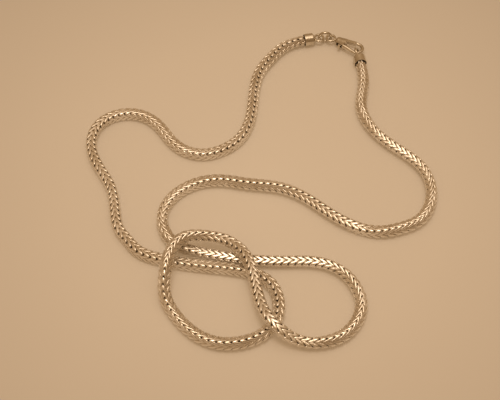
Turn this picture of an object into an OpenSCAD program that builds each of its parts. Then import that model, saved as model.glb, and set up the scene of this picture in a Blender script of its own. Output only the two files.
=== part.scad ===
// Foxtail chain necklace with a lobster clasp, fastened and lying in loose folds.
// Millimetres, +Z up. The surface that it lies on is z = 0.

/* [Chain] */
// Width of the square chain across its flat faces
chain_w = 2.4; // [2.0:0.1:3.0]
// Width of each flat face between the rounded corners
face_w = 1.7; // [1.2:0.1:2.2]
// Size of the chain's ends inside the caps, as a part of the full size
end_slim = 0.92; // [0.85:0.01:0.95]

/* [End caps] */
// Outer diameter of an end cap
cap_d = 3.1; // [2.8:0.1:3.6]
// Wall of an end cap
cap_wall = 0.13; // [0.1:0.01:0.3]
// Length of an end cap from its mouth to the top of its dome
cap_l = 2.8; // [2.2:0.1:3.6]
// Radius of the sphere that rounds the cap's closed end
cap_dome_r = 1.9; // [1.7:0.1:3.0]
// Wire radius of the loop soldered on the cap
loop_wire_r = 0.3; // [0.25:0.05:0.4]
// Radius of that loop's wire centre
loop_r = 1.1; // [0.95:0.05:1.3]
// How far the right cap's loop is rolled up from lying flat
right_roll = 58; // [40:1:90]

/* [Jump ring] */
// Wire radius of the jump ring
ring_wire_r = 0.35; // [0.3:0.05:0.4]
// Radius of the jump ring's wire centre
ring_r = 1.5; // [1.4:0.05:1.8]

/* [Clasp] */
// From the eye's centre to the bow's centre
claw_l = 7.2; // [6.5:0.1:8.5]
// Wire radius of the bow
bow_wire_r = 0.42; // [0.35:0.01:0.5]
// Radius of the bow's wire centre
bow_r = 1.45; // [1.3:0.05:1.8]
// Wire radius of the eye
eye_wire_r = 0.33; // [0.25:0.01:0.4]
// Radius of the eye's wire centre
eye_r = 1.03; // [0.9:0.01:1.3]
// Half of the thickness over the two cheeks
cheek_z = 1.45; // [1.1:0.05:1.5]
// Radius of the body behind the cheeks
heel_r = 1.15; // [0.9:0.05:1.3]
// Half of the slot that the lever turns in
slot_z = 0.52; // [0.45:0.01:0.6]
// Half of the lever's thickness
lever_z = 0.42; // [0.35:0.01:0.5]
// Radius of the rivet
pin_r = 0.3; // [0.2:0.05:0.4]
// Running clearance round the rivet
pin_gap = 0.05; // [0.03:0.01:0.08]
// How far the lever is pushed open, in degrees
lever_open = 0; // [0:1:25]

/* [Hidden] */
$fn = 48;
silver = [0.80, 0.78, 0.74];

// Centre of everything in plan, which becomes the origin
middle = [2.1, 5.67];

// Left cap: centre of its loop and its heading in plan
left_loop = [17.25, 48.4];
left_heading = 11.8;
// Right cap: the same
right_loop = [26.6, 43.5];
right_heading = 98.6;
// Heading of the jump ring from that loop to the clasp's eye, and of the clasp
ring_heading = 1;
claw_heading = -29.5;

// Route of the chain: x, y, lift above lying on the surface, lean of its faces in degrees
X = 0;
Y = 1;
LIFT = 2;
LEAN = 3;
route = [
    [15.4, 48, 0.1, 34], [13, 47.5, 0.1, 34], [8.5, 45.5, 0, 33], [5, 41.5, 0, 28],
    [2.5, 37.5, 0, 21], [1, 31, 0, 21], [0.5, 25.5, 0, 17], [-0.5, 20.5, 0, 12],
    [-2.5, 16.5, 0, 8], [-6, 13.5, 0, 6], [-11, 12, 0, 7], [-16.5, 14, 0, 11],
    [-22, 21, 0, 17], [-25.5, 23.5, 0, 12], [-32, 23.5, 0, 3], [-36, 20, 0, -10],
    [-37, 16, 0, -3], [-35, 9, 0, 4], [-31.5, 2.5, 0, 3], [-30, -4.5, 0, 4],
    [-28.5, -9.5, 0, 1], [-27, -11.5, 0, -3], [-25, -14, 0, -9], [-20, -16.5, 0, -9], [-13, -18, 0, -9],
    [-4.5, -19.1, 0, -19], [1, -20.5, 0, -24], [4.5, -23, 0, -22], [6, -27, 0, -25],
    [5.5, -31.5, 0, -37], [2, -35.5, 0, -49], [-2, -37, 0, -57], [-7, -37, 0, -66],
    [-12, -34.5, 0, -70], [-16, -30, 0, -66], [-18, -26, 1, -60], [-18, -21.5, 2.9, -45],
    [-17, -16.5, 3.1, -44], [-14.5, -13, 2.8, -39], [-9.5, -12, 2.1, -50], [-5.5, -13, 2.2, -70],
    [-2, -16, 2.8, -100], [0, -20, 3, -101], [1, -24, 2.8, -98], [2.5, -30, 2.8, -91],
    [4, -33, 3.1, -87], [6, -35, 2.5, -83], [9, -36.5, 0.9, -77], [14.5, -37, 0, -56],
    [19, -35.5, 0, -37], [22, -32.5, 0, -36], [23.5, -27.5, 0, -33], [22.5, -23.5, 0, -33],
    [20, -20, 0, -31], [16.5, -18, 0, -24], [8, -17.25, 0, -20], [0.5, -17, 0, -16],
    [-6, -16, 0, -13], [-12.5, -14.5, 0, 7], [-16, -13, 0, 29], [-18.5, -10, 0, 26],
    [-19.5, -5, 0, 7], [-18, -1, 0, -4], [-13.5, 3, 0, -8], [-7, 4.5, 0, -24],
    [-0.5, 3.5, 0, -29], [6.5, 2.5, 0, -40], [12, 0, 0, -55], [17, -4, 0, -66],
    [22, -7.5, 0, -71], [28.5, -9.5, 0, -108], [33.5, -8.5, 0, -121], [37.5, -6.5, 0, -123],
    [40, -3, 0, -122], [41, 3, 0, -115], [39.5, 8, 0, -114], [36.5, 11.5, 0, -114],
    [32, 15.5, 0, -112], [28.5, 20, 0, -124], [26.5, 26.5, 0, -143], [27.5, 34, 0, -145],
    [27.2, 39.5, 0.1, -146], [26.9, 41.5, 0.1, -146],
];
last = len(route) - 1;
// The row of the route where the two chain parts meet
meet = 34;

// Chain section: corners of a square with its edges cut off, as [out, across]
half = chain_w / 2;
face = face_w / 2;
section = [[half, -face], [half, face], [face, half], [-face, half],
    [-half, face], [-half, -face], [-face, -half], [face, -half]];
sides = len(section);

function unit(v) = v / norm(v);
// A section corner turned by the lean: [up, right]
function turned(p, a) = [p[0] * cos(a) - p[1] * sin(a), p[0] * sin(a) + p[1] * cos(a)];
// Height of the centre when the section lies on the surface at this lean
function rest_h(a) = max([for (p = section) -turned(p, a)[0]]);
function centre(i) = [route[i][X] - middle[0], route[i][Y] - middle[1],
    rest_h(route[i][LEAN]) + route[i][LIFT]];
function along(i) = unit(centre(min(i + 1, last)) - centre(max(i - 1, 0)));
function up_of(t) = unit([0, 0, 1] - t * t[2]);
function slim(i) = (i < 2 || i > last - 2) ? end_slim : 1;
function placed(i, p, t, u) = centre(i) + slim(i) * (u * p[0] + cross(t, u) * p[1]);
function ring_at(i, t, u) = [for (p = section) placed(i, turned(p, route[i][LEAN]), t, u)];
function ring(i) = ring_at(i, along(i), up_of(along(i)));

// Tube through the route's rows from a to b, closed at both ends
module tube(a, b) {
    n = b - a;
    points = [for (i = [a:b]) each ring(i)];
    walls = [for (i = [0:n - 1]) for (k = [0:sides - 1]) each [
        [i * sides + k, i * sides + (k + 1) % sides, (i + 1) * sides + (k + 1) % sides],
        [i * sides + k, (i + 1) * sides + (k + 1) % sides, (i + 1) * sides + k]]];
    start = [for (k = [1:sides - 2]) [0, k + 1, k]];
    finish = [for (k = [1:sides - 2]) [n * sides, n * sides + k, n * sides + k + 1]];
    polyhedron(points = points, faces = concat(walls, start, finish));
}

// Chain from the left cap round the left lobe
module chain_left() {
    color(silver) tube(0, meet);
}

// Chain over the crossings and round the right lobe
module chain_right() {
    color(silver) tube(meet, last);
}

cap_r = cap_d / 2;
// From the cap's mouth to its loop's centre, the loop's wire sunk in the dome
cap_reach = cap_l + loop_r - loop_wire_r / 2;

// Wire ring in the XY plane
module wire_ring(r, wire) {
    rotate_extrude() translate([r, 0]) circle(r = wire);
}

// Half section of an end cap: radius across, mouth at 0 and dome at the top
module cap_profile() {
    difference() {
        intersection() {
            square([cap_r, cap_l]);
            translate([0, cap_l - cap_dome_r]) circle(r = cap_dome_r);
        }
        translate([-1, -1]) square([1 + cap_r - cap_wall, cap_l - 0.8 + 1]);
    }
}

// End cap along +X with its loop's centre at the origin
module end_cap(roll) {
    union() {
        translate([-cap_reach, 0, 0]) rotate([0, 90, 0]) rotate_extrude() cap_profile();
        rotate([roll, 0, 0]) wire_ring(loop_r, loop_wire_r);
    }
}

module end_cap_left() {
    color(silver) translate([left_loop[0] - middle[0], left_loop[1] - middle[1], cap_r])
        rotate([0, 0, left_heading]) end_cap(0);
}

module end_cap_right() {
    color(silver) translate([right_loop[0] - middle[0], right_loop[1] - middle[1], cap_r])
        rotate([0, 0, right_heading]) end_cap(right_roll);
}

// Jump ring, upright over the two eyes that it joins
ring_z = ring_r + ring_wire_r;
ring_back = sqrt(pow(ring_r, 2) - pow(ring_z - cap_r, 2));
ring_front = sqrt(pow(ring_r, 2) - pow(ring_z - cheek_z, 2));
ring_way = [cos(ring_heading), sin(ring_heading)];
ring_xy = left_loop + ring_back * ring_way;
eye_at = ring_xy + ring_front * ring_way;

module jump_ring() {
    color(silver) translate([ring_xy[0] - middle[0], ring_xy[1] - middle[1], ring_z])
        rotate([90, 0, ring_heading]) wire_ring(ring_r, ring_wire_r);
}

// Clasp, along +X from its eye. Its sides taper towards the heel at this angle.
bow_out = bow_r + bow_wire_r;
heel_x = 2.4;
pivot_x = 3.1;
taper = asin((bow_out - heel_r) / (claw_l - heel_x));
cheek_r = 1.3;
hub_r = 0.62;
arm_w = 0.4;
gate_r = 3.8;
gate_gap = 0.08;
tab_at = [pivot_x, -1.8];
tab_r = 0.28;
// Where the straight sides leave the bow: the wire's centre
leave = [claw_l - bow_r * sin(taper), bow_r * cos(taper)];

module at_clasp() {
    translate([eye_at[0] - middle[0], eye_at[1] - middle[1], cheek_z])
        rotate([0, 0, claw_heading]) children();
}

// Flat bar between two round ends
module bar(p, rp, q, rq) {
    d = norm(q - p);
    a = atan2(q[1] - p[1], q[0] - p[0]);
    s = asin((rp - rq) / d);
    translate(p) circle(r = rp);
    translate(q) circle(r = rq);
    translate(p) rotate(a) polygon([
        [rp * sin(s), rp * cos(s)], [d + rq * sin(s), rq * cos(s)],
        [d + rq * sin(s), -rq * cos(s)], [rp * sin(s), -rp * cos(s)]]);
}

// Radius of the tapered side where it leaves the heel's sphere, a hair inside it
side_r = heel_r / cos(taper) - 0.02;

// Cheeks and heel: a tapered round body between two flats, rounded about the rivet
module clasp_heel() {
    intersection() {
        union() {
            translate([heel_x, 0, 0]) rotate([0, 90, 0]) sphere(r = heel_r);
            translate([heel_x, 0, 0]) rotate([0, 90, 0])
                cylinder(r1 = side_r, r2 = side_r + 2.4 * tan(taper), h = 2.4);
        }
        translate([0, -3, -cheek_z]) cube([6, 6, 2 * cheek_z]);
        translate([0, 0, -2]) linear_extrude(4) union() {
            translate([pivot_x, 0]) circle(r = cheek_r);
            translate([0, -2]) square([pivot_x, 4]);
        }
    }
}

// Fixed arm: a cone whose outer side goes on from the heel's side to the bow. It starts
// a little inside the bow's wire, and so does the hook's straight end.
inside = 0.1;
joint_r = bow_wire_r - 0.02;
arm_l = 3.3;
arm_r = 0.6;
arm_turn = asin((arm_r - bow_wire_r) / arm_l);
module fixed_arm() {
    translate([leave[0], -leave[1], 0]) rotate([0, 0, 180 - taper - arm_turn])
        rotate([0, 90, 0]) translate([0, 0, -inside])
            cylinder(r1 = joint_r, r2 = arm_r, h = arm_l + inside);
}

// The bow from the fixed arm round to the hook's end, where the lever meets it
module bow() {
    difference() {
        union() {
            translate([claw_l, 0, 0]) rotate([0, 0, -90 - taper])
                rotate_extrude(angle = 180 + 2 * taper) translate([bow_r, 0])
                    circle(r = bow_wire_r);
            translate([leave[0], leave[1], 0]) rotate([0, 0, 180 + taper])
                rotate([0, 90, 0]) translate([0, 0, -inside]) cylinder(r = joint_r, h = 1.1);
        }
        intersection() {
            translate([pivot_x, 0, -1]) cylinder(r = gate_r, h = 2);
            translate([4, 0.3, -1]) cube([5, 3, 2]);
        }
    }
}

// The slot: room for the hub, for the gate's arm and for the thumb tab as it turns
module slot() {
    translate([0, 0, -slot_z]) linear_extrude(2 * slot_z) union() {
        translate([pivot_x, 0]) circle(r = hub_r + 0.1);
        polygon([[pivot_x - 0.2, 0], [pivot_x + 0.5, -0.62], [pivot_x + 0.7, -0.45],
            [pivot_x + 1.1, -0.25], [pivot_x + 1.9, -0.1], [pivot_x + 1.9, 2.2],
            [pivot_x - 0.2, 2.2]]);
        polygon([[pivot_x, 0.3], [pivot_x + 0.72, -0.1], [pivot_x + 0.52, -2.4],
            [pivot_x - 1.6, -2.4], [pivot_x - 0.72, -0.3]]);
    }
}

module clasp_body() {
    color(silver) at_clasp() union() {
        difference() {
            union() {
                clasp_heel();
                fixed_arm();
            }
            slot();
        }
        bow();
        wire_ring(eye_r, eye_wire_r);
        translate([eye_r, 0, 0]) rotate([0, 90, 0]) cylinder(r = 0.45, h = 0.8);
        translate([pivot_x, 0, -slot_z - 0.2]) cylinder(r = pin_r, h = 2 * slot_z + 0.4);
    }
}

// Lever: hub, gate arm up to the hook's end, and thumb tab on the other side
gate_root = [leave[0] - 2.9 * cos(taper), leave[1] - 2.9 * sin(taper)];
gate_tip = [leave[0] + 0.1, leave[1] + 0.01];

module clasp_lever() {
    color(silver) at_clasp() translate([pivot_x, 0, 0]) rotate([0, 0, -lever_open])
        translate([-pivot_x, 0, -lever_z]) difference() {
            union() {
                linear_extrude(2 * lever_z) bar([pivot_x, 0], hub_r, gate_root, arm_w);
                intersection() {
                    linear_extrude(2 * lever_z) bar(gate_root, arm_w, gate_tip, arm_w);
                    translate([pivot_x, 0, -1]) cylinder(r = gate_r - gate_gap, h = 4);
                }
                linear_extrude(2 * lever_z) bar([pivot_x, 0], 0.5, tab_at, tab_r);
            }
            translate([pivot_x, 0, -1]) cylinder(r = pin_r + pin_gap, h = 4);
        }
}

chain_left();
chain_right();
end_cap_left();
end_cap_right();
jump_ring();
clasp_body();
clasp_lever();
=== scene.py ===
"""Looks of the foxtail chain: bent wire links on its route, silver, and a soft studio."""

import math

import bpy
import numpy as np
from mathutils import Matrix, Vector


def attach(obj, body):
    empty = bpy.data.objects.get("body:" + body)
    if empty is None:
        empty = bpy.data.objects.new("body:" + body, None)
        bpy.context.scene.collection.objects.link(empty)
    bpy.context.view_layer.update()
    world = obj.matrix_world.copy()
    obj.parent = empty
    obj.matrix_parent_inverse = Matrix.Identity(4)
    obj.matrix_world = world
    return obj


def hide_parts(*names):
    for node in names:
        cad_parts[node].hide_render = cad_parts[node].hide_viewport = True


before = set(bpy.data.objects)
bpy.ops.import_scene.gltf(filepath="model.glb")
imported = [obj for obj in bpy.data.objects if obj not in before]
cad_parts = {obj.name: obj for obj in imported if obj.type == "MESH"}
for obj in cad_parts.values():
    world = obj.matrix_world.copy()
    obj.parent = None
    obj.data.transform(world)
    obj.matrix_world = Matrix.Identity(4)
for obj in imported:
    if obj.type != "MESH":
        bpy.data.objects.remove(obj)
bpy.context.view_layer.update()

MM = 0.001
# Middle of the part in the route's own frame (mm), put at the scene's origin
MIDDLE = np.array([2.1, 5.67])

# Route of the chain, as in the part's source: x, y, lift, lean (mm and degrees)
ROUTE = np.array([
    (15.4, 48, 0.1, 34), (13, 47.5, 0.1, 34), (8.5, 45.5, 0, 33), (5, 41.5, 0, 28),
    (2.5, 37.5, 0, 21), (1, 31, 0, 21), (0.5, 25.5, 0, 17), (-0.5, 20.5, 0, 12),
    (-2.5, 16.5, 0, 8), (-6, 13.5, 0, 6), (-11, 12, 0, 7), (-16.5, 14, 0, 11),
    (-22, 21, 0, 17), (-25.5, 23.5, 0, 12), (-32, 23.5, 0, 3), (-36, 20, 0, -10),
    (-37, 16, 0, -3), (-35, 9, 0, 4), (-31.5, 2.5, 0, 3), (-30, -4.5, 0, 4),
    (-28.5, -9.5, 0, 1), (-27, -11.5, 0, -3), (-25, -14, 0, -9), (-20, -16.5, 0, -9),
    (-13, -18, 0, -9), (-4.5, -19.1, 0, -19), (1, -20.5, 0, -24), (4.5, -23, 0, -22),
    (6, -27, 0, -25), (5.5, -31.5, 0, -37), (2, -35.5, 0, -49), (-2, -37, 0, -57),
    (-7, -37, 0, -66), (-12, -34.5, 0, -70), (-16, -30, 0, -66), (-18, -26, 1, -60),
    (-18, -21.5, 2.9, -45), (-17, -16.5, 3.1, -44), (-14.5, -13, 2.8, -39),
    (-9.5, -12, 2.1, -50), (-5.5, -13, 2.2, -70), (-2, -16, 2.8, -100), (0, -20, 3, -101),
    (1, -24, 2.8, -98), (2.5, -30, 2.8, -91), (4, -33, 3.1, -87), (6, -35, 2.5, -83),
    (9, -36.5, 0.9, -77), (14.5, -37, 0, -56), (19, -35.5, 0, -37), (22, -32.5, 0, -36),
    (23.5, -27.5, 0, -33), (22.5, -23.5, 0, -33), (20, -20, 0, -31), (16.5, -18, 0, -24),
    (8, -17.25, 0, -20), (0.5, -17, 0, -16), (-6, -16, 0, -13), (-12.5, -14.5, 0, 7),
    (-16, -13, 0, 29), (-18.5, -10, 0, 26), (-19.5, -5, 0, 7), (-18, -1, 0, -4),
    (-13.5, 3, 0, -8), (-7, 4.5, 0, -24), (-0.5, 3.5, 0, -29), (6.5, 2.5, 0, -40),
    (12, 0, 0, -55), (17, -4, 0, -66), (22, -7.5, 0, -71), (28.5, -9.5, 0, -108),
    (33.5, -8.5, 0, -121), (37.5, -6.5, 0, -123), (40, -3, 0, -122), (41, 3, 0, -115),
    (39.5, 8, 0, -114), (36.5, 11.5, 0, -114), (32, 15.5, 0, -112), (28.5, 20, 0, -124),
    (26.5, 26.5, 0, -143), (27.5, 34, 0, -145), (27.2, 39.5, 0.1, -146),
    (26.9, 41.5, 0.1, -146)], float)
# Row of the route where the two chain nodes meet
MEET_ROW = 34
# Height of the chain's centre when it lies at a lean: a part that turns, and a fixed part (mm)
REST_TURNING = 0.603
REST_FIXED = 0.597

# Camera: the photo's angle above the surface, its distance (mm) and its focal length
ELEVATION = math.radians(54.8)
DISTANCE = 256.5
FOCAL_PX = 1134.0
PHOTO_WIDTH_PX = 500
SENSOR_MM = 36


def camera():
    data = bpy.data.cameras.new("camera")
    data.sensor_width = SENSOR_MM
    data.lens = FOCAL_PX / PHOTO_WIDTH_PX * SENSOR_MM
    data.clip_start = 0.01
    data.clip_end = 10
    cam = bpy.data.objects.new("camera", data)
    cam.location = (-MIDDLE[0] * MM, (-MIDDLE[1] - DISTANCE * math.cos(ELEVATION)) * MM,
                    DISTANCE * math.sin(ELEVATION) * MM)
    cam.rotation_euler = (math.pi / 2 - ELEVATION, 0, 0)
    bpy.context.scene.collection.objects.link(cam)
    bpy.context.scene.camera = cam


def smooth_route(rows, step=0.05, per_row=200):
    """Natural cubic spline through the rows, resampled evenly.

    Gives the arc length, centre and lean at each step, and the arc length at each row.
    """
    chord = np.linalg.norm(np.diff(rows[:, :2], axis=0), axis=1)
    n = len(rows)
    a = np.zeros((n, n))
    b = np.zeros((n, 4))
    for i in range(n):
        if i in (0, n - 1):
            j = 0 if i == 0 else n - 2
            a[i, i] = 2
            a[i, 1 if i == 0 else n - 2] = 1
            b[i] = 3 * (rows[j + 1] - rows[j]) / chord[j]
        else:
            a[i, i - 1], a[i, i + 1] = chord[i], chord[i - 1]
            a[i, i] = 2 * (chord[i - 1] + chord[i])
            b[i] = 3 * (chord[i] * (rows[i] - rows[i - 1]) / chord[i - 1]
                        + chord[i - 1] * (rows[i + 1] - rows[i]) / chord[i])
    slope = np.linalg.solve(a, b)
    parts, marks = [], []
    for i in range(n - 1):
        u = np.linspace(0, 1, per_row, endpoint=False)[:, None]
        h = chord[i]
        marks.append(per_row * i)
        parts.append((2 * u**3 - 3 * u**2 + 1) * rows[i] + (u**3 - 2 * u**2 + u) * h * slope[i]
                     + (-2 * u**3 + 3 * u**2) * rows[i + 1] + (u**3 - u**2) * h * slope[i + 1])
    dense = np.vstack(parts + [rows[-1:]])
    lean = np.radians(dense[:, 3])
    lift = np.maximum(dense[:, 2], 0)
    rest = REST_TURNING * (np.abs(np.cos(lean)) + np.abs(np.sin(lean))) + REST_FIXED
    centre = np.column_stack([dense[:, :2] - MIDDLE, rest + lift])
    length = np.r_[0, np.cumsum(np.linalg.norm(np.diff(centre, axis=0), axis=1))]
    s = np.arange(0, length[-1], step)
    even = np.column_stack([np.interp(s, length, centre[:, k]) for k in range(3)])
    return s, even, np.interp(s, length, lean), length[marks]


S, CENTRE, LEAN, ROW_AT = smooth_route(ROUTE)
TANGENT = np.gradient(CENTRE, axis=0)
TANGENT /= np.linalg.norm(TANGENT, axis=1)[:, None]
UP = np.array([0, 0, 1.0]) - TANGENT * TANGENT[:, 2:3]
UP /= np.linalg.norm(UP, axis=1)[:, None]
RIGHT = np.cross(TANGENT, UP)


def along_route(points):
    """Points given as (distance along the chain, out, across) to places in the scene."""
    s = np.clip(points[:, 0], 0, S[-1])
    centre, up, right = (np.column_stack([np.interp(s, S, table[:, k]) for k in range(3)])
                         for table in (CENTRE, UP, RIGHT))
    lean = np.interp(s, S, LEAN)
    rise = points[:, 1] * np.cos(lean) - points[:, 2] * np.sin(lean)
    aside = points[:, 1] * np.sin(lean) + points[:, 2] * np.cos(lean)
    return centre + up * rise[:, None] + right * aside[:, None]


# One quarter of a link's wire: from its tip on a corner, down a face to the face's middle,
# and in to the inside. Columns: towards the next face, out of this face, back from the tip,
# half the wire's width along the surface, half its thickness (mm).
QUARTER = np.array([
    (0.92, 0.92, 0.00, 0.50, 0.37), (0.66, 0.98, -0.29, 0.40, 0.31),
    (0.38, 0.97, -0.80, 0.35, 0.30), (0.13, 0.95, -1.32, 0.39, 0.30),
    (-0.05, 0.91, -1.78, 0.42, 0.28), (-0.40, 0.50, -2.14, 0.37, 0.28)])
# Section of the wire in half widths: across, out
SECTION = np.array([
    (0.0, 1.0), (0.42, 0.91), (0.78, 0.60), (1.0, 0.06), (0.74, -0.66), (0.0, -1.0),
    (-0.74, -0.66), (-1.0, 0.06), (-0.78, 0.60), (-0.42, 0.91)])
# Places of the rings of vertices along a quarter, closest together round the tip
RINGS = np.array([0.0, 0.085, 0.19, 0.32, 0.47, 0.64, 0.82])
STEPS = 4 * len(RINGS)
AROUND = len(SECTION)
# From one pair of links to the next (mm), and how far the second of a pair is ahead, in pitches
PITCH = 1.535
STAGGER = 0.10
# Tips of the first and last pairs: distance from the chain's ends in the caps (mm)
FIRST_TIP = 2.9
LAST_TIP = 0.9
# Near both ends the links are slimmer: by what scale, as far as, and then fading over (mm)
END_SLIM = 0.92
SLIM_TO = 1.7
SLIM_FADE = 3.0
# Limits that the drawn chain's faces and corners are pressed to (mm), the face's a little
# higher round a nose, and the share of what stands past them that stays
FACE_LIMIT, NOSE_RISE, NOSE_REACH, FACE_GIVE = 1.15, 0.09, 0.42, 0.1
CORNER_LIMIT, CORNER_GIVE = 1.93, 0.15
# The links' lowest places stay this far above the floor (mm)
LOWEST = 0.004


def closed_link():
    """The closed line of one link, resampled: across, out, along, half width, half thickness."""
    q = QUARTER
    back = q[-2::-1].copy()
    back[:, 0], back[:, 1] = -q[-2::-1, 1], -q[-2::-1, 0]
    half = np.vstack([q, back])
    full = np.vstack([half[:-1], half[:-1] * np.array([-1, -1, 1, 1, 1])])
    n = len(full)
    fine = []
    for i in range(n):
        p0, p1, p2, p3 = (full[(i + k) % n] for k in (-1, 0, 1, 2))
        u = np.linspace(0, 1, 20, endpoint=False)[:, None]
        fine.append(0.5 * (2 * p1 + (p2 - p0) * u + (2 * p0 - 5 * p1 + 4 * p2 - p3) * u**2
                           + (3 * p1 - p0 - 3 * p2 + p3) * u**3))
    fine = np.vstack(fine)
    loop = np.vstack([fine, fine[:1]])
    d = np.r_[0, np.cumsum(np.linalg.norm(np.diff(loop[:, :3], axis=0), axis=1))]
    inward = np.r_[0, 1 - RINGS[:0:-1]]
    at = np.concatenate([RINGS, 1 + inward, 2 + RINGS, 3 + inward]) * d[-1] / 4
    return np.column_stack([np.interp(at, d, loop[:, k]) for k in range(5)])


def press(v, limit, give):
    """Soft limit: what stands past it is pressed back, as in a drawn chain."""
    over = np.maximum(np.abs(v) - limit, 0)
    return np.sign(v) * (np.minimum(np.abs(v), limit) + over * give)


def link_surface(turn):
    """Vertices of one link's wire round the chain's axis, turned by 0 or 90 degrees."""
    rows = closed_link()
    line, wide, thick = rows[:, :3], rows[:, 3], rows[:, 4]
    tangent = np.roll(line, -1, axis=0) - np.roll(line, 1, axis=0)
    tangent /= np.linalg.norm(tangent, axis=1)[:, None]
    for tip in (0, STEPS // 2):
        for beside in (tip - 1, tip + 1):
            tangent[beside] = 0.3 * tangent[beside] + 0.7 * tangent[tip]
            tangent[beside] /= np.linalg.norm(tangent[beside])
    out = line * np.array([1, 1, 0])
    out -= tangent * np.sum(out * tangent, axis=1)[:, None]
    out /= np.linalg.norm(out, axis=1)[:, None]
    side = np.cross(tangent, out)
    v = (line[:, None] + (thick[:, None] * SECTION[None, :, 1])[..., None] * out[:, None]
         + (wide[:, None] * SECTION[None, :, 0])[..., None] * side[:, None])
    v = v.reshape(-1, 3)
    flat = FACE_LIMIT + NOSE_RISE * np.exp(-(v[:, 2] / NOSE_REACH)**2)
    x, y = press(v[:, 0], flat, FACE_GIVE), press(v[:, 1], flat, FACE_GIVE)
    total = np.abs(x) + np.abs(y)
    squeeze = press(total, CORNER_LIMIT, CORNER_GIVE) / np.maximum(total, 1e-9)
    x, y = x * squeeze, y * squeeze
    if turn:
        x, y = -y, x
    return np.column_stack([v[:, 2], x, y])


def link_faces(count):
    """Quads of a number of links, each a closed tube."""
    i, k = np.meshgrid(np.arange(STEPS), np.arange(AROUND), indexing="ij")
    a = i * AROUND + k
    b = i * AROUND + (k + 1) % AROUND
    c = ((i + 1) % STEPS) * AROUND + (k + 1) % AROUND
    d = ((i + 1) % STEPS) * AROUND + k
    quads = np.column_stack([a.ravel(), b.ravel(), c.ravel(), d.ravel()])
    shift = np.arange(count)[:, None, None] * STEPS * AROUND
    return (quads[None] + shift).reshape(-1, 4)


def mesh_object(name, verts, faces, depth=None):
    mesh = bpy.data.meshes.new(name)
    mesh.from_pydata(verts.tolist(), [], faces.tolist())
    mesh.polygons.foreach_set("use_smooth", [True] * len(mesh.polygons))
    if depth is not None:
        mesh.attributes.new("depth", "FLOAT", "POINT").data.foreach_set("value", depth)
    mesh.update()
    obj = bpy.data.objects.new(name, mesh)
    bpy.context.scene.collection.objects.link(obj)
    return obj


def build_chain(material):
    """Both chain nodes: pairs of links along the route, each node one joined mesh."""
    first, end = FIRST_TIP, S[-1] - LAST_TIP
    count = int(round((end - first) / PITCH))
    pitch = (end - first) / count
    shapes = [link_surface(False), link_surface(True)]
    meet = ROW_AT[MEET_ROW]
    groups = {"chain_left": [], "chain_right": []}
    depths = {"chain_left": [], "chain_right": []}
    for k in range(count + 1):
        for turn in (0, 1):
            at = first + (k + STAGGER * turn) * pitch
            v = shapes[turn].copy()
            near = min(at - first, end - at)
            v[:, 1:] *= END_SLIM + (1 - END_SLIM) * np.clip((near - SLIM_TO) / SLIM_FADE, 0, 1)
            v[:, 0] += at
            node = "chain_left" if at < meet else "chain_right"
            groups[node].append(v)
            # How far out each vertex lies, most on the corners; from it the links' colour gets
            # painted shade inside and a painted highlight on the corners
            x, y = np.abs(v[:, 1]), np.abs(v[:, 2])
            depths[node].append(0.5 * np.maximum(x, y) + 0.25 * (x + y))
    for node, parts in groups.items():
        places = along_route(np.vstack(parts))
        places[:, 2] = np.maximum(places[:, 2], LOWEST)
        obj = mesh_object(node + "_links", places * MM, link_faces(len(parts)),
                          np.concatenate(depths[node]))
        obj.data.materials.append(material)
        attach(obj, "necklace")
        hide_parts(node)
    print("links", 2 * (count + 1), "pitch", round(pitch, 4))


def shader(name):
    mat = bpy.data.materials.new(name)
    mat.use_nodes = True
    nodes, links = mat.node_tree.nodes, mat.node_tree.links
    return nodes, links, nodes["Principled BSDF"], mat


def noise(nodes, links, scale):
    coord = nodes.new("ShaderNodeTexCoord")
    tex = nodes.new("ShaderNodeTexNoise")
    tex.inputs["Scale"].default_value = scale
    tex.inputs["Detail"].default_value = 3.0
    links.new(coord.outputs["Object"], tex.inputs["Vector"])
    return tex.outputs["Fac"]


def spread(nodes, links, value, start, stop, low, high):
    """A value between start and stop, stretched to run from low to high."""
    node = nodes.new("ShaderNodeMapRange")
    node.inputs["From Min"].default_value = start
    node.inputs["From Max"].default_value = stop
    node.inputs["To Min"].default_value = low
    node.inputs["To Max"].default_value = high
    links.new(value, node.inputs["Value"])
    return node.outputs["Result"]


def ramp(nodes, links, value, *stops):
    """A colour ramp; each stop is a position and a colour, the lowest and highest first."""
    node = nodes.new("ShaderNodeValToRGB")
    elements = node.color_ramp.elements
    for k, (at, colour) in enumerate(stops):
        item = elements[k] if k < 2 else elements.new(at)
        item.position = at
        item.color = (*colour, 1)
    links.new(value, node.inputs["Fac"])
    return node.outputs["Color"]


def multiplied(nodes, links, one, two):
    """One colour times another, each a socket or a plain colour."""
    node = nodes.new("ShaderNodeMix")
    node.data_type = "RGBA"
    node.blend_type = "MULTIPLY"
    for socket, value in (("Factor", 1.0), ("A", one), ("B", two)):
        spot = [i for i in node.inputs if i.name == socket and i.enabled][0]
        if hasattr(value, "is_output"):
            links.new(value, spot)
        else:
            spot.default_value = value
    return [o for o in node.outputs if o.enabled][0]


# Depth of the bump in both silvers (m)
WEAR_DEPTH = 0.00004


def polish(nodes, links, bsdf, grain, smooth, rough, bump_strength):
    """Bare metal whose fine grain varies the roughness and stands out a little."""
    bsdf.inputs["Metallic"].default_value = 1.0
    fine = noise(nodes, links, grain)
    links.new(spread(nodes, links, fine, 0.3, 0.7, smooth, rough), bsdf.inputs["Roughness"])
    bump = nodes.new("ShaderNodeBump")
    bump.inputs["Strength"].default_value = bump_strength
    bump.inputs["Distance"].default_value = WEAR_DEPTH
    links.new(fine, bump.inputs["Height"])
    links.new(bump.outputs["Normal"], bsdf.inputs["Normal"])


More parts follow.
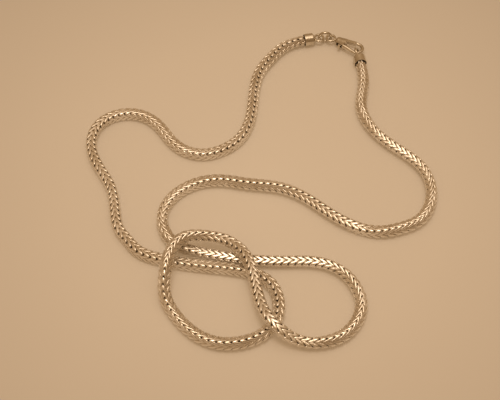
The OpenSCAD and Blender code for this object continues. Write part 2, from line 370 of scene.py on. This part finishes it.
def silver_links():
    """Polished wire, darker towards the inside of the chain with tarnish and painted shade, and
    lightest on the outer corners with a painted highlight.
    """
    nodes, links, bsdf, mat = shader("silver_links")
    depth = nodes.new("ShaderNodeAttribute")
    depth.attribute_name = "depth"
    # Tarnish and painted shade towards the inside, a painted highlight on the outer corners
    body = ramp(nodes, links, depth.outputs["Fac"], (0.45, (0.86, 0.75, 0.60)),
                (1.0, (0.96, 0.93, 0.88)), (0.84, (0.82, 0.77, 0.70)))
    cloud = ramp(nodes, links, noise(nodes, links, 260), (0.35, (0.86, 0.83, 0.78)),
                 (0.65, (1.0, 1.0, 1.0)))
    links.new(multiplied(nodes, links, body, cloud), bsdf.inputs["Base Color"])
    polish(nodes, links, bsdf, grain=2600, smooth=0.27, rough=0.38, bump_strength=0.06)
    return mat


def silver_fittings():
    """Cast and drawn silver with fine wear, for the caps, the jump ring and the clasp; its
    colour is darker than the links' silver, a painted shade.
    """
    nodes, links, bsdf, mat = shader("silver_fittings")
    cloud = noise(nodes, links, 420)
    # Painted shade: a darker silver than the links', its tone varying at random with the noise
    links.new(ramp(nodes, links, cloud, (0.3, (0.60, 0.54, 0.44)), (0.7, (0.76, 0.70, 0.60))),
              bsdf.inputs["Base Color"])
    polish(nodes, links, bsdf, grain=3200, smooth=0.16, rough=0.32, bump_strength=0.15)
    return mat


# The floor: half its side (m), strength and tint of the light that it gives off itself, and
# the scale of the painted falloff of light in its colour
FLOOR_HALF = 1.5
FLOOR_GLOW = 0.41
GLOW_TINT = (0.78, 0.51, 0.285, 1)
FALL_SCALE = (7.5, 7.5, 7.5)


def floor():
    """Pale paper; its colour darkens gently away from the middle, a painted falloff of light.

    Part of the light is its own, which keeps the contact shadows faint.
    """
    nodes, links, bsdf, mat = shader("floor_paper")
    bsdf.inputs["Roughness"].default_value = 0.9
    bsdf.inputs["Specular IOR Level"].default_value = 0.2
    paper = ramp(nodes, links, noise(nodes, links, 9), (0.3, (0.597, 0.590, 0.575)),
                 (0.7, (0.612, 0.605, 0.590)))
    coord = nodes.new("ShaderNodeTexCoord")
    place = nodes.new("ShaderNodeMapping")
    place.inputs["Scale"].default_value = FALL_SCALE
    round_fall = nodes.new("ShaderNodeTexGradient")
    round_fall.gradient_type = "SPHERICAL"
    links.new(coord.outputs["Object"], place.inputs["Vector"])
    links.new(place.outputs["Vector"], round_fall.inputs["Vector"])
    # Painted shade: the floor's colour darker away from the middle, standing in for light
    # falling off
    fall = ramp(nodes, links, round_fall.outputs["Fac"], (0.0, (0.70, 0.685, 0.67)),
                (1.0, (1.0, 1.0, 1.0)), (0.35, (0.80, 0.79, 0.78)), (0.68, (0.945, 0.94, 0.935)))
    pale = multiplied(nodes, links, paper, fall)
    links.new(pale, bsdf.inputs["Base Color"])
    links.new(multiplied(nodes, links, pale, GLOW_TINT), bsdf.inputs["Emission Color"])
    bsdf.inputs["Emission Strength"].default_value = FLOOR_GLOW
    corners = FLOOR_HALF * np.array([(-1, -1, 0), (1, -1, 0), (1, 1, 0), (-1, 1, 0)])
    obj = mesh_object("floor", corners, np.array([(0, 1, 2, 3)]))
    obj.data.materials.append(mat)


# Colours of the lamps
CREAM = (1.0, 0.80, 0.60)
WARM_WHITE = (1.0, 0.84, 0.68)


def lamp(name, azimuth, elevation, distance, size, watts, colour):
    """Round area lamp aimed at the part; angles in degrees, distance and size in metres."""
    data = bpy.data.lights.new(name, "AREA")
    data.shape = "DISK"
    data.energy = watts
    data.color = colour
    data.size = size
    obj = bpy.data.objects.new(name, data)
    a, e = math.radians(azimuth), math.radians(elevation)
    obj.location = Vector((math.cos(e) * math.cos(a), math.cos(e) * math.sin(a),
                           math.sin(e))) * distance
    obj.rotation_euler = (-obj.location).to_track_quat("-Z", "Y").to_euler()
    bpy.context.scene.collection.objects.link(obj)


def studio():
    """Warm dome, dimmer low down and behind the camera, and two broad lamps overhead."""
    world = bpy.data.worlds.new("studio")
    world.use_nodes = True
    nodes, links = world.node_tree.nodes, world.node_tree.links
    coord = nodes.new("ShaderNodeTexCoord")
    split = nodes.new("ShaderNodeSeparateXYZ")
    links.new(coord.outputs["Generated"], split.inputs["Vector"])
    height = ramp(nodes, links, split.outputs["Z"], (0.0, (0.35, 0.202, 0.096)),
                  (1.0, (0.63, 0.404, 0.215)), (0.40, (0.41, 0.252, 0.126)),
                  (0.76, (0.46, 0.288, 0.149)))
    side = nodes.new("ShaderNodeVectorMath")
    side.operation = "DOT_PRODUCT"
    side.inputs[1].default_value = (0.5, -0.87, 0.0)
    links.new(coord.outputs["Generated"], side.inputs[0])
    shade = ramp(nodes, links, side.outputs["Value"], (0.15, (1.0, 1.0, 1.0)),
                 (0.75, (0.72, 0.70, 0.68)))
    links.new(multiplied(nodes, links, height, shade), nodes["Background"].inputs["Color"])
    bpy.context.scene.world = world
    bpy.context.scene.view_settings.view_transform = "Standard"
    lamp("overhead", 250, 86, 0.55, 0.20, 0.60, CREAM)
    lamp("window", 60, 80, 0.6, 0.55, 0.44, WARM_WHITE)


camera()
floor()
studio()
build_chain(silver_links())
fitting_silver = silver_fittings()
for node in ("end_cap_left", "end_cap_right", "jump_ring", "clasp_body", "clasp_lever"):
    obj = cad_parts[node]
    for slot in obj.material_slots:
        slot.material = fitting_silver
